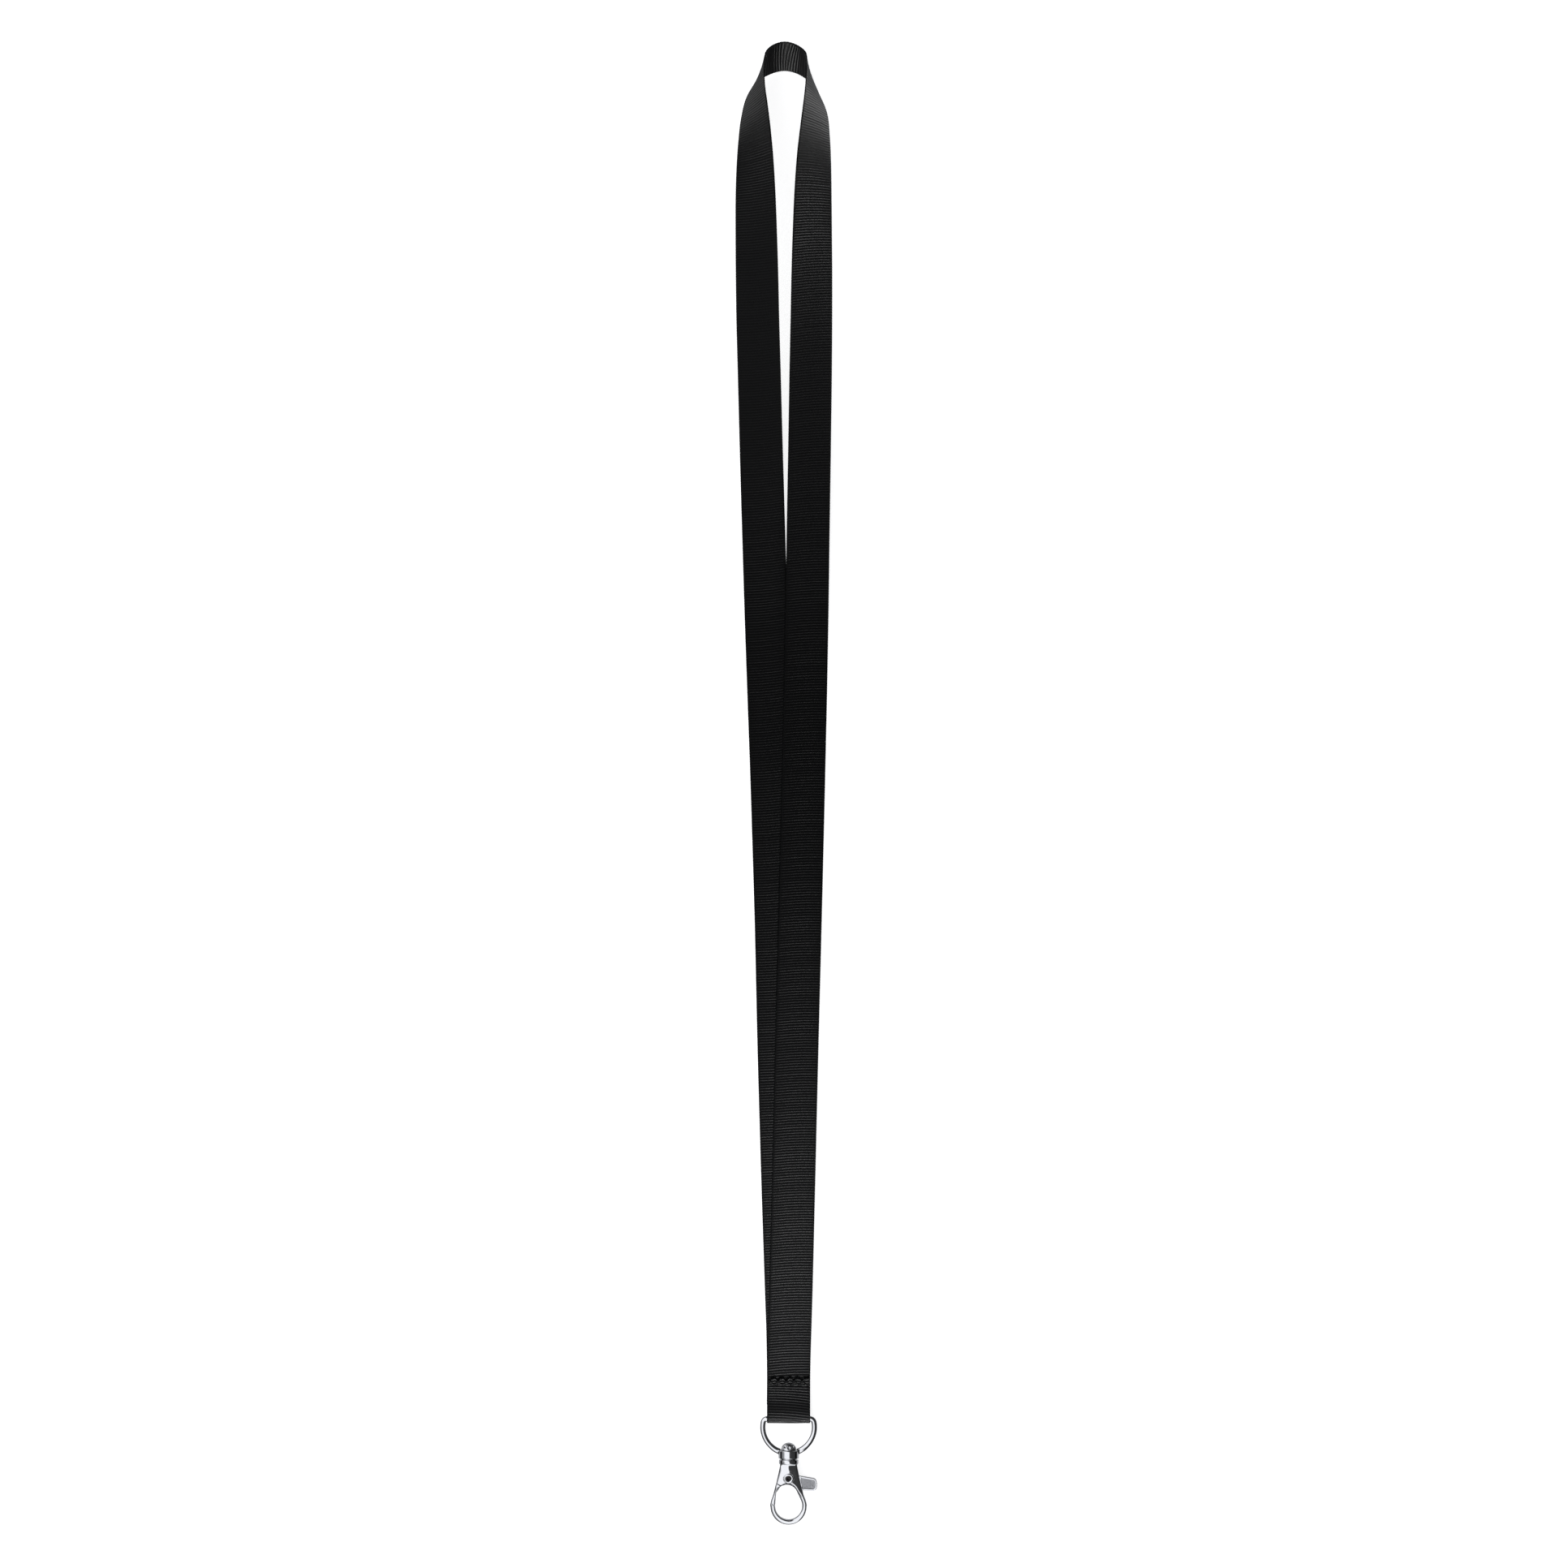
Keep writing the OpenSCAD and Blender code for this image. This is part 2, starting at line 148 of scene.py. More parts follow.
def new_object(name, verts, faces, smooth=True):
    mesh = bpy.data.meshes.new(name)
    mesh.from_pydata(np.asarray(verts).tolist(), [], [list(map(int, f)) for f in faces])
    mesh.update()
    if smooth:
        mesh.polygons.foreach_set("use_smooth", [True] * len(mesh.polygons))
    obj = bpy.data.objects.new(name, mesh)
    bpy.context.scene.collection.objects.link(obj)
    return obj


def tube(path, radius, sides):
    """Vertices and faces of a closed round tube along the points of path."""
    path = np.asarray(path, float)
    run = unit(np.gradient(path, axis=0))
    side = unit(np.cross(run, [0.0, 0.0, 1.0]) + 1e-9)
    up = np.cross(side, run)
    r = np.broadcast_to(radius, len(path))
    turn = np.linspace(0, 2 * np.pi, sides, endpoint=False)[None, :]
    ring = (path[:, None] + r[:, None, None]
            * (np.cos(turn)[..., None] * side[:, None] + np.sin(turn)[..., None] * up[:, None]))
    n = len(path)
    faces = [(i * sides + k, i * sides + (k + 1) % sides, (i + 1) * sides + (k + 1) % sides,
              (i + 1) * sides + k) for i in range(n - 1) for k in range(sides)]
    faces.append(list(range(sides))[::-1])
    faces.append([(n - 1) * sides + k for k in range(sides)])
    return ring.reshape(-1, 3), faces


def merge(parts):
    """One mesh's vertices and faces from several."""
    verts, faces, base = [], [], 0
    for v, f in parts:
        verts.append(v)
        faces += [[i + base for i in face] for face in f]
        base += len(v)
    return np.vstack(verts), faces


# ---- solids from distance fields, in millimetres about the bar with the clasp towards -y ----


def smin(a, b, k):
    """The smaller of two distances, rounded over k where they meet: a filleted union."""
    h = np.clip(0.5 + 0.5 * (b - a) / k, 0, 1)
    return b * (1 - h) + a * h - k * h * (1 - h)


def smax(a, b, k):
    """The larger of two distances, rounded over k: a common part with a softened edge."""
    return -smin(-a, -b, k)


def smooth_step(x):
    x = np.clip(x, 0, 1)
    return x * x * (3 - 2 * x)


def between(v, top, bottom):
    """Distance to the space between two levels, negative inside it."""
    return np.abs(v - (top + bottom) / 2) - (bottom - top) / 2


def polygon_distance(x, y, corners):
    """Signed distance to a convex or concave polygon, negative inside."""
    best, sign = None, None
    count = len(corners)
    for i in range(count):
        ax, ay = corners[i]
        bx, by = corners[i - 1]
        ex, ey = bx - ax, by - ay
        wx, wy = x - ax, y - ay
        h = np.clip((wx * ex + wy * ey) / (ex * ex + ey * ey), 0, 1)
        d = (wx - ex * h) ** 2 + (wy - ey * h) ** 2
        best = d if best is None else np.minimum(best, d)
        c1, c2, c3 = y >= ay, y < by, ex * wy > ey * wx
        flip = (c1 & c2 & c3) | (~c1 & ~c2 & ~c3)
        s = np.where(flip, -1.0, 1.0)
        sign = s if sign is None else sign * s
    return sign * np.sqrt(best)


def skin(name, field, low, high, cell):
    """Mesh of the surface where field(x, y, z) is zero, with its exact normals.

    Each grid cell that the surface crosses gets one vertex, which then moves onto the surface.
    """
    low, high = np.array(low, float), np.array(high, float)
    axes = [np.arange(a, b + cell, cell) for a, b in zip(low, high)]
    grid = np.meshgrid(*axes, indexing="ij", sparse=True)
    f = np.broadcast_to(field(*grid), tuple(len(a) for a in axes))
    inside = f < 0
    count = np.zeros(tuple(n - 1 for n in f.shape), int)
    for i in (0, 1):
        for j in (0, 1):
            for k in (0, 1):
                count += inside[i:f.shape[0] - 1 + i, j:f.shape[1] - 1 + j, k:f.shape[2] - 1 + k]
    cells = np.argwhere((count > 0) & (count < 8))
    index = -np.ones(count.shape, int)
    index[tuple(cells.T)] = np.arange(len(cells))
    total, hits = np.zeros((len(cells), 3)), np.zeros(len(cells))
    for axis in range(3):
        others = [a for a in range(3) if a != axis]
        for i in (0, 1):
            for j in (0, 1):
                a = cells.copy()
                a[:, others[0]] += i
                a[:, others[1]] += j
                b = a.copy()
                b[:, axis] += 1
                fa, fb = f[tuple(a.T)], f[tuple(b.T)]
                cross = (fa < 0) != (fb < 0)
                share = np.where(cross, fa / np.where(cross, fa - fb, 1), 0)
                p = a.astype(float)
                p[:, axis] += share
                total += p * cross[:, None]
                hits += cross
    p = low + cell * total / hits[:, None]

    def slope(q, e=0.01):
        g = np.empty_like(q)
        for axis in range(3):
            d = np.zeros(3)
            d[axis] = e
            g[:, axis] = (field(*(q + d).T) - field(*(q - d).T)) / (2 * e)
        return g

    for _ in range(4):
        g = slope(p)
        move = g * (field(*p.T) / np.maximum((g * g).sum(1), 0.2))[:, None]
        far = np.linalg.norm(move, axis=1, keepdims=True)
        p = p - move * np.minimum(1, 0.3 * cell / np.maximum(far, 1e-9))
    normals = unit(slope(p) + 1e-12)
    faces = []
    for axis in range(3):
        u, v = [(1, 2), (2, 0), (0, 1)][axis]
        a = [slice(None)] * 3
        b = [slice(None)] * 3
        a[axis], b[axis] = slice(0, -1), slice(1, None)
        change = np.argwhere(inside[tuple(a)] != inside[tuple(b)])
        out = inside[tuple(a)][tuple(change.T)]
        corner = []
        for du, dv in ((-1, -1), (0, -1), (0, 0), (-1, 0)):
            c = change.copy()
            c[:, u] += du
            c[:, v] += dv
            corner.append(index[tuple(c.T)])
        quad = np.stack(corner, 1)
        faces.append(np.where(out[:, None], quad, quad[:, ::-1]))
    faces = np.vstack(faces)
    obj = new_object(name, BAR + p * MM, faces)
    obj.data.normals_split_custom_set_from_vertices(normals.tolist())
    return obj, p


# ---- the shapes of the metal pieces ----
# v is the way down from the D-ring's bar; the swivel's axis is at x = z = 0
BAR_HALF, WIRE_R = 7.317, 0.95
BAR_V, ARC_V, ARC_R = 1.5, 2.9, 7.45
EYE_TOP, EYE_BOTTOM, EYE_R = 11.0, 13.8, 3.5
DOME_R, SHANK_R, SHANK_HOLE_R = 2.7, 1.2, 1.25
DENTS, DENT_R = 10, 0.55
FLANGE_TOP, FLANGE_BOTTOM, FLANGE_R = 14.1, 15.7, 3.4
PIVOT_V, PIVOT_HOLE_R = 20.55, 1.25
SLOT_TOP, SLOT_BOTTOM, SLOT_HALF = 17.1, 24.9, 1.0
HOOK_V, HOOK_R = 30.42, 6.32
EYE_HOLE_V = 30.2
GATE_R = 10.65
LEVER_HALF = 0.9


def ring_field(x, y, z):
    """D-ring: the round wire with its straight bar, and the swivel eye that is cast on it."""
    v = -y
    # The wire's middle line is a D drawn BAR_V outside a smaller D: round its corners, along its sides.
    # A corner ends where the arc starts, on the line from the arc's middle through it.
    side_x = np.abs(x) - BAR_HALF
    side_v = v - BAR_V
    corner = (side_x > 0) & (-0.188 * side_x - 0.982 * side_v > 0)
    flat = np.maximum(np.hypot(x, v - ARC_V) - ARC_R, BAR_V - v)
    inset = np.where(corner, np.hypot(side_x, side_v), flat) - BAR_V
    thicker = 0.12 * smooth_step((v - 9.4) / 2.2)  # towards the eye
    wire = np.sqrt(inset * inset + z * z) - (WIRE_R + thicker)
    q = np.sqrt(x * x + z * z)
    collar = smax(q - EYE_R, between(v, EYE_TOP, EYE_BOTTOM), 0.28)
    whole = smin(wire, collar, 0.55)
    seat = smax(q - (DOME_R + 0.12), v - (EYE_TOP + 0.02), 0.15)
    whole = smax(whole, -seat, 0.15)
    return smax(whole, -np.maximum(q - SHANK_HOLE_R, EYE_TOP - 3 - v), 0.1)


def dome_field(x, y, z):
    """Swivel rivet: a peened dome above the eye and its shank through the eye into the clasp."""
    v = -y - EYE_TOP
    q = np.sqrt(x * x + z * z)
    base = v + 0.05
    dome = smax(np.sqrt(q * q + base**2) - DOME_R, base, 0.18)
    for k in range(DENTS):  # in two rows round the dome
        a = 2 * math.pi * (k + 0.4) / DENTS
        rise = 1.05 + 0.5 * (k % 2)
        far = math.sqrt(DOME_R**2 - rise**2) + 0.16
        away = (x - far * math.cos(a)) ** 2 + (v + rise) ** 2 + (z - far * math.sin(a)) ** 2
        dome = smax(dome, DENT_R - np.sqrt(away), 0.24)
    shank = np.maximum(q - SHANK_R, between(v, -0.15, 5.55))
    return np.minimum(dome, shank)


def right_side(down):
    """The clasp's right side: how far it is from the middle at a distance down from the flange."""
    return 2.9 + 0.175 * down + 0.004 * down * down


def outer_outline(x, v):
    """Outline of the closed clasp below its flange, negative inside."""
    down = np.maximum(v - FLANGE_BOTTOM, -2)
    right = right_side(down)
    left = 2.9 + 0.2 * down + 0.0034 * down * down
    sides = np.maximum(x - right, -x - left) * 0.972
    sides = smax(sides, v - EYE_HOLE_V, 0.8)
    ring = np.hypot(x + 0.03, v - HOOK_V) - HOOK_R
    return smin(sides, ring, 0.5)


def eye_outline(x, v):
    """The hook's egg-shaped opening, negative inside it: two circles and the lines that touch both."""
    span, wide, narrow = 3.707, 4.65, 3.7
    tilt = 0.65 / span
    level = math.sqrt(1 - tilt * tilt)
    rise = EYE_HOLE_V - v
    px, py = np.abs(level * x + tilt * rise), level * rise - tilt * x
    b = (wide - narrow) / span
    a = math.sqrt(1 - b * b)
    k = -b * px + a * py
    straight = a * px + b * py - wide
    low = np.hypot(px, py) - wide
    top = np.hypot(px, py - span) - narrow
    return np.where(k < 0, low, np.where(k > a * span, top, straight))


def gate_area(x, v):
    """Where the gate's arm takes the outline's place: on the left, from its top edge to its tip."""
    top = (x + 4.6) * 0.4138 - (v - 22.3) * 0.9104
    tip = np.hypot(x, v - PIVOT_V) - GATE_R
    return np.maximum(np.maximum(top, x + 2.5), tip)


def half_thickness(x, v):
    """Half the clasp's thickness: a bevelled body of two facets, then a ring of round section."""
    ring = smooth_step((v - 23.0 - 0.35 * np.clip(x, 0, 6)) / 3)
    lean = 1 + 0.35 * ring * np.tanh(x / 3)
    edge = smin(-outer_outline(x, v) * lean, eye_outline(x, v) / lean, 0.1)
    bevel = 1.25 + 1.02 * edge
    share = np.clip(edge / 0.84, 0, 1)
    round_bar = 0.5 + 0.98 * np.sqrt(share * (2 - share) + 1e-6)
    facets = 0.15 * (np.sqrt(x * x + 0.16) - 0.4) + 0.006 * x * x
    face = 2.3 - 0.35 * smooth_step((18 - v) / 2.6) - facets * (1 - ring)
    return (1 - ring) * smin(bevel, face, 0.3) + ring * round_bar


def clasp_solid(x, v, z):
    flat = np.maximum(outer_outline(x, v), -eye_outline(x, v))
    return smax(flat, (np.abs(z) - half_thickness(x, v)) / 1.25, 0.26)


def hook_field(x, y, z):
    """Clasp body: flange, two cheeks with the gate's slot between them, and the hook."""
    v = -y
    body = smax(clasp_solid(x, v, z), (FLANGE_TOP + FLANGE_BOTTOM) / 2 - v, 0.2)
    body = smax(body, 0.15 - gate_area(x, v), 0.14)  # with a gap round the gate's arm
    q = np.sqrt(x * x + z * z)
    flange = smax(q - FLANGE_R, between(v, FLANGE_TOP, FLANGE_BOTTOM), 0.45)
    body = smin(body, flange, 0.55)
    neck = np.maximum(q - 2.9, between(v, 13.86, 14.74))  # up to the ring's eye
    body = np.minimum(smax(body, FLANGE_TOP - v, 0.2), neck)
    slot = np.maximum(np.abs(z) - SLOT_HALF, between(v, SLOT_TOP, SLOT_BOTTOM))
    body = smax(body, -slot, 0.12)
    around = np.hypot(x, v - PIVOT_V)
    # Flat seats for the rivet's rolled ends
    seat = np.maximum(np.maximum(around - 1.8, np.abs(z) - 2.16), SLOT_HALF - np.abs(z))
    body = smin(body, seat, 0.2)
    body = smax(body, PIVOT_HOLE_R - around, 0.1)
    return smax(body, -np.maximum(q - SHANK_HOLE_R, v - 16.7), 0.1)


# Corners of the lever's parts, as x and v; the tab's and webs' edges are that far outside them
TAB, TAB_R = [(3.4, 20.98), (8.4, 21.85), (8.56, 22.6), (8.5, 23.6), (3.9, 23.42)], 1.3
ARM_WEB = [(-1.2, 20.0), (-3.6, 22.5), (-4.4, 25.0), (-4.1, 25.0), (-2.9, 23.2), (0.2, 22.2)]
TAB_WEB = [(1.0, 19.3), (5.6, 20.7), (5.9, 23.8), (4.2, 23.2), (0.4, 22.2)]


def tab_distance(x, v):
    return polygon_distance(x, v, TAB) - TAB_R


def tab_grain(x, v):
    """Fine stipple of the tab's sunk face."""
    return (np.sin(15.1 * x + 3.3 * np.sin(7.7 * v + 1.1 * x))
            * np.sin(14.3 * v + 2.9 * np.sin(8.3 * x - 0.7 * v)))


def gate_field(x, y, z):
    """Gate lever: the arm that shuts the hook, the hub in the slot and the thumb tab."""
    v = -y
    arm = smax(clasp_solid(x, v, z), gate_area(x, v), 0.14)
    around = np.hypot(x, v - PIVOT_V)
    hub = around - 2.3
    to_arm = polygon_distance(x, v, ARM_WEB) - 0.28
    to_tab = polygon_distance(x, v, TAB_WEB) - 0.3
    web = smin(smin(hub, to_arm, 0.4), to_tab, 0.4)
    # Beside the spring the hub fills only the slot's back; it is full again where the tab starts
    full = 0.375 * smooth_step((x - 2.6) / 1.2)
    web = smax(web, np.abs(z + 0.375 - full) - (LEVER_HALF - 0.375 + full), 0.12)
    rim = tab_distance(x, v)
    # The tab is thicker once it is clear of the body, and its two faces are sunk inside a rim
    clear = x - (right_side(v - FLANGE_BOTTOM) + 0.1 + 0.38 * np.maximum(0, 21.2 - v))
    sunk = 0.26 * smooth_step((-rim - 0.5) / 0.25)
    sunk = sunk + 0.013 * tab_grain(x, v) * smooth_step((-rim - 0.75) / 0.2)
    tab = smax(rim, np.abs(z) - (LEVER_HALF + 0.42 * smooth_step(clear / 0.16) - sunk), 0.22)
    whole = smin(smin(arm, web, 0.15), tab, 0.25)
    return smax(whole, PIVOT_HOLE_R - around, 0.08)


def rivet_field(x, y, z):
    """Gate rivet: a barrel rolled over at both ends, with a web across its hollow."""
    v = -y
    around = np.hypot(x, v - PIVOT_V)
    barrel = np.maximum(np.abs(around - 1.0) - 0.2, np.abs(z) - 2.35)
    bead = np.hypot(around - 1.29, np.abs(z) - 2.24) - 0.44
    web = np.maximum(around - 1.2, between(z, -2.3, -1.1))
    return smin(smax(smin(barrel, bead, 0.12), 0.8 - around, 0.1), web, 0.1)


# ---- materials ----


def material(name):
    """An empty material with one Principled shader, and its node tree and shader."""
    mat = bpy.data.materials.new(name)
    mat.use_nodes = True
    tree = mat.node_tree
    tree.nodes.clear()
    out = tree.nodes.new("ShaderNodeOutputMaterial")
    shader = tree.nodes.new("ShaderNodeBsdfPrincipled")
    tree.links.new(shader.outputs[0], out.inputs[0])
    return mat, tree, shader


def node(tree, kind, inputs=None, **settings):
    """A node with its inputs linked to sockets or set to values."""
    n = tree.nodes.new(kind)
    for key, value in settings.items():
        setattr(n, key, value)
    for key, value in (inputs or {}).items():
        if isinstance(value, bpy.types.NodeSocket):
            tree.links.new(value, n.inputs[key])
        else:
            n.inputs[key].default_value = value
    return n


def set_shader(shader, **values):
    for key, value in values.items():
        shader.inputs[key.replace("_", " ")].default_value = value


def spread(tree, source, low, high, from_low=0.0, from_high=1.0):
    """A node that maps source from one range to another."""
    return node(tree, "ShaderNodeMapRange", {"Value": source, "From Min": from_low, "From Max": from_high,
                                             "To Min": low, "To Max": high}).outputs[0]


def metal_material(name, base, rough, grain, bump, grain_scale=900.0):
    """Bare or plated metal: a base colour, with a cloudy and a fine change in how rough it is."""
    mat, tree, shader = material(name)
    set_shader(shader, Metallic=1.0)
    shader.inputs["Base Color"].default_value = (*base, 1)
    place = node(tree, "ShaderNodeTexCoord").outputs["Object"]
    cloudy = node(tree, "ShaderNodeTexNoise", {"Vector": place, "Scale": 260.0, "Detail": 3.0}).outputs["Fac"]
    fine = node(tree, "ShaderNodeTexNoise", {"Vector": place, "Scale": grain_scale, "Detail": 4.0,
                                             "Roughness": 0.65}).outputs["Fac"]
    both = node(tree, "ShaderNodeMath", {0: cloudy, 1: fine}, operation="MULTIPLY").outputs[0]
    tree.links.new(spread(tree, both, rough, rough + grain, 0.12, 0.4), shader.inputs["Roughness"])
    height = node(tree, "ShaderNodeBump", {"Height": fine, "Strength": bump, "Distance": 0.00006})
    tree.links.new(height.outputs[0], shader.inputs["Normal"])
    return mat


def ribbon_material(name, crest, shaded_valley, rough):
    """Ribbed polyester: yarns that run along the ribbon over each rib, darker between the ribs, where the
    darkening is painted shade.
    """
    mat, tree, shader = material(name)
    place = node(tree, "ShaderNodeAttribute", attribute_name="cloth").outputs["Vector"]
    rib = node(tree, "ShaderNodeAttribute", attribute_name="rib").outputs["Fac"]
    yarns = node(tree, "ShaderNodeMapping", {"Vector": place, "Scale": (5200.0, 900.0, 1.0)}).outputs[0]
    yarn = node(tree, "ShaderNodeTexNoise", {"Vector": yarns, "Scale": 1.0, "Detail": 3.0,
                                             "Roughness": 0.6}).outputs["Fac"]
    patch = node(tree, "ShaderNodeMapping", {"Vector": place, "Scale": (170.0, 340.0, 1.0)}).outputs[0]
    cloud = node(tree, "ShaderNodeTexNoise", {"Vector": patch, "Scale": 1.0, "Detail": 2.0}).outputs["Fac"]
    along = node(tree, "ShaderNodeMath", {0: rib, 1: spread(tree, yarn, 0.72, 1.28)}, operation="MULTIPLY")
    shade = node(tree, "ShaderNodeMath", {0: along.outputs[0], 1: spread(tree, cloud, 0.8, 1.2)},
                 operation="MULTIPLY").outputs[0]
    # The ramp paints shade into the valleys between the ribs, from the rib heights, with random yarn and
    # patch tone on top
    ramp = node(tree, "ShaderNodeValToRGB", {"Fac": shade})
    ramp.color_ramp.elements[0].color = (*shaded_valley, 1)
    ramp.color_ramp.elements[1].color = (*crest, 1)
    tree.links.new(ramp.outputs[0], shader.inputs["Base Color"])
    matt = node(tree, "ShaderNodeMath", {0: spread(tree, rib, 0.4, 0),
                                         1: spread(tree, yarn, rough - 0.05, rough + 0.07)},
                operation="ADD").outputs[0]
    tree.links.new(matt, shader.inputs["Roughness"])
    height = node(tree, "ShaderNodeBump", {"Height": yarn, "Strength": 0.35, "Distance": 0.00008})
    tree.links.new(height.outputs[0], shader.inputs["Normal"])
    set_shader(shader, Specular_IOR_Level=0.05, Sheen_Weight=0.05, Sheen_Roughness=0.3)
    shader.inputs["Sheen Tint"].default_value = (0.9, 0.92, 1.0, 1)
    return mat


def thread_material(name, colour):
    """Sewing thread: dull fibres, some lighter than others."""
    mat, tree, shader = material(name)
    place = node(tree, "ShaderNodeTexCoord").outputs["Object"]
    fibre = node(tree, "ShaderNodeTexNoise", {"Vector": place, "Scale": 7000.0, "Detail": 3.0}).outputs["Fac"]
    ramp = node(tree, "ShaderNodeValToRGB", {"Fac": fibre})
    ramp.color_ramp.elements[0].color = (*[c * 0.6 for c in colour], 1)
    ramp.color_ramp.elements[1].color = (*[c * 1.7 for c in colour], 1)
    tree.links.new(ramp.outputs[0], shader.inputs["Base Color"])
    tree.links.new(spread(tree, fibre, 0.5, 0.75), shader.inputs["Roughness"])
    height = node(tree, "ShaderNodeBump", {"Height": fibre, "Strength": 0.3, "Distance": 0.00004})
    tree.links.new(height.outputs[0], shader.inputs["Normal"])
    set_shader(shader, Specular_IOR_Level=0.03, Sheen_Weight=0.03)
    return mat


CHROME = metal_material("plated_metal", (0.80, 0.805, 0.82), 0.05, 0.09, 0.12)
PEENED = metal_material("peened_metal", (0.8, 0.805, 0.82), 0.2, 0.16, 0.35, 1500.0)
GRAINED = metal_material("grained_metal", (0.46, 0.465, 0.48), 0.4, 0.25, 1.0, 2600.0)
# Darker base colour for the rivet's hollow: painted shade in the recess
SHADED_BORE = metal_material("shaded_bore_metal", (0.2, 0.19, 0.185), 0.45, 0.2, 0.4, 2000.0)
STEEL = metal_material("spring_wire", (0.55, 0.55, 0.56), 0.22, 0.15, 0.3, 2000.0)
# The valley colour, far darker than the crest colour, is painted shade between the ribs
CLOTH = ribbon_material("ribbed_polyester", (0.002, 0.00205, 0.0022), (0.0001, 0.0001, 0.0001), 0.33)
THREAD = thread_material("sewing_thread", (0.0012, 0.0012, 0.0013))

# ---- the ribbon ----
RIB_COUNT = round(route.length / 0.00093)
RIB_PITCH = route.length / RIB_COUNT
RIB_SKEW = math.tan(math.radians(4))  # the ribs aren't quite square to the ribbon
RIB_DEPTH = 0.0002
RIB_BOW = 0.00022
RIB_ROUND = 0.87  # the power of the sine that a rib's section follows; under 1 is fuller
RIB_DRIFT = 0.000012  # how far each rib strays from its place
TAIL_RIBS = 8  # the sewn tail, which has a finer mesh
END_FADE = 0.008  # skew and bow fade out over this length at both ends
SHIFT_FADE = 0.02  # and their straying over this one
TORN_LENGTH, TORN_LIFT = 0.0032, 0.00016  # how much of the tail the cut end draws back, and its curl
# Across one face: place as a share of the half width, how far the ribs rise, how thick it is
FACE_SIDE = [(0.3, 1, 1), (0.868, 1, 1), (0.905, 0.35, 0.84), (0.962, 0.6, 0.93), (0.99, 0.35, 0.62)]
ACROSS = np.array([(-share, rise, thick) for share, rise, thick in FACE_SIDE[::-1]] + FACE_SIDE).T
RIBS = np.arange(RIB_COUNT + 1)
rib_shift = np.cumsum(rng.normal(0, 1, RIB_COUNT + 1))
rib_shift = (rib_shift - np.linspace(rib_shift[0], rib_shift[-1], RIB_COUNT + 1)) * RIB_DRIFT
rib_height = rng.normal(1, 0.1, RIB_COUNT + 1)
END_TEETH = rng.normal(0, 0.00016, 41)  # how uneven the cut end is, at places across it
PUCKER_R = 0.0004
TAIL_PUCKER, BACK_PUCKER = 0.0004, 0.0002
TAIL_LENGTH = 0.0075
BACK_START, BACK_END = 0.012, 0.03  # the layer under the seam, from the ribbon's cut end


def stitch_places():
    first = END_X - STITCH_PITCH * STITCH_COUNT / 2
    return [(first + STITCH_PITCH * (i + 0.5), NECK_Y - STITCH_S) for i in range(STITCH_COUNT)]


def stitch_holes():
    """Where the thread goes through the ribbon: both ends of each slanted stitch."""
    return [(x + side * STITCH_X, y - side * STITCH_Y) for x, y in stitch_places() for side in (-1, 1)]


def pucker(points, deep):
    """How far the seam pulls a surface in at each stitch hole, most beside the cut end, in metres."""
    pull = np.zeros(points.shape[:-1])
    for x, y in stitch_holes():
        away = (points[..., 0] - x) ** 2 + (points[..., 1] - y) ** 2
        share = 1 if y > NECK_Y - STITCH_S else 0.35
        pull = np.maximum(pull, np.exp(-away / PUCKER_R**2) * share)
    return pull * deep


def torn_end(w):
    """How far the cut end draws back at a place across the ribbon, and how much it curls up there."""
    back = np.interp(w, np.linspace(-RIBBON_W / 2, RIBBON_W / 2, len(END_TEETH)), END_TEETH)
    curl = np.ones_like(w)
    for x, y in stitch_holes():
        if y > NECK_Y - STITCH_S:
            near = np.exp(-((w - (x - END_X)) / 0.00042) ** 2)
            back = back + 0.0009 * near
            curl = np.minimum(curl, 1 - near)
    return back, curl


